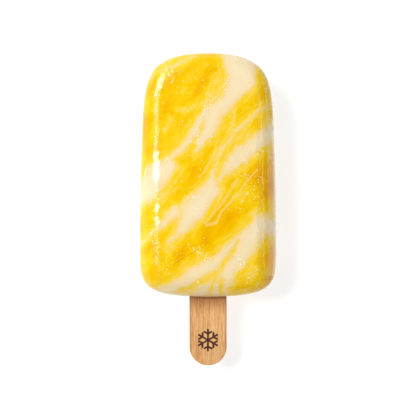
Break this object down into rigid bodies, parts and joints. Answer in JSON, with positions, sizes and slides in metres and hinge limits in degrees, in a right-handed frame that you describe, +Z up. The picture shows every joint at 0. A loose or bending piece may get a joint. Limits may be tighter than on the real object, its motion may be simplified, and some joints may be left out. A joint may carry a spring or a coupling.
{
  "type": "ice lolly",
  "caption": "Ice lolly: rounded bar of marbled mango and cream ice frozen round a flat wooden stick, lying on its back face.",
  "frame": {"origin": "under the middle of the whole lolly's length and width, on the surface that its back face lies on", "axes": "+Y along the lolly from the stick to the bar's tip, +X across it to the right seen from the front, +Z up out of the front face"},
  "size_m": [0.044, 0.1006, 0.0241],
  "materials": {
    "ice": "gloss",
    "wood": "satin"
  },
  "bodies": {
    "root": {"ice_bar": "ice", "stick": "wood"}
  },
  "joints": []
}
